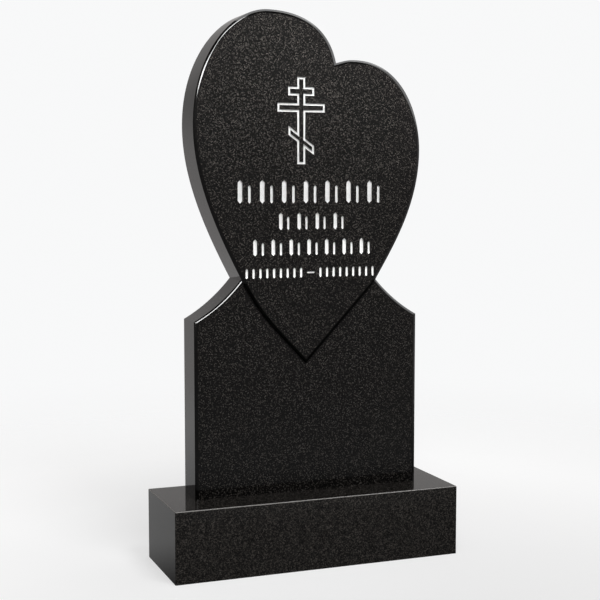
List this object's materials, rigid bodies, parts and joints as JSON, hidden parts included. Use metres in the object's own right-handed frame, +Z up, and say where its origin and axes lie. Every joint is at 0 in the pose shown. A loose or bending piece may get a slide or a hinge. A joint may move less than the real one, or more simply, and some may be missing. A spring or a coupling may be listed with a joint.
{
  "type": "headstone",
  "caption": "Polished black granite headstone: a lopsided heart raised on a slab with hollow shoulders, with an outline cross, on a plain plinth.",
  "frame": {"origin": "middle of the plinth's underside, on the ground", "axes": "+Z up, -Y out of the carved front, +X to the right as the front is seen"},
  "size_m": [0.6, 0.205, 1.1],
  "materials": {
    "plinth_granite": "mirror-polished black granite with a fine grey fleck",
    "stele_granite": "mirror-polished black granite with a fine grey fleck, and pale frosted carving"
  },
  "bodies": {
    "root": {"plinth": "plinth_granite", "stele": "stele_granite"}
  },
  "joints": []
}
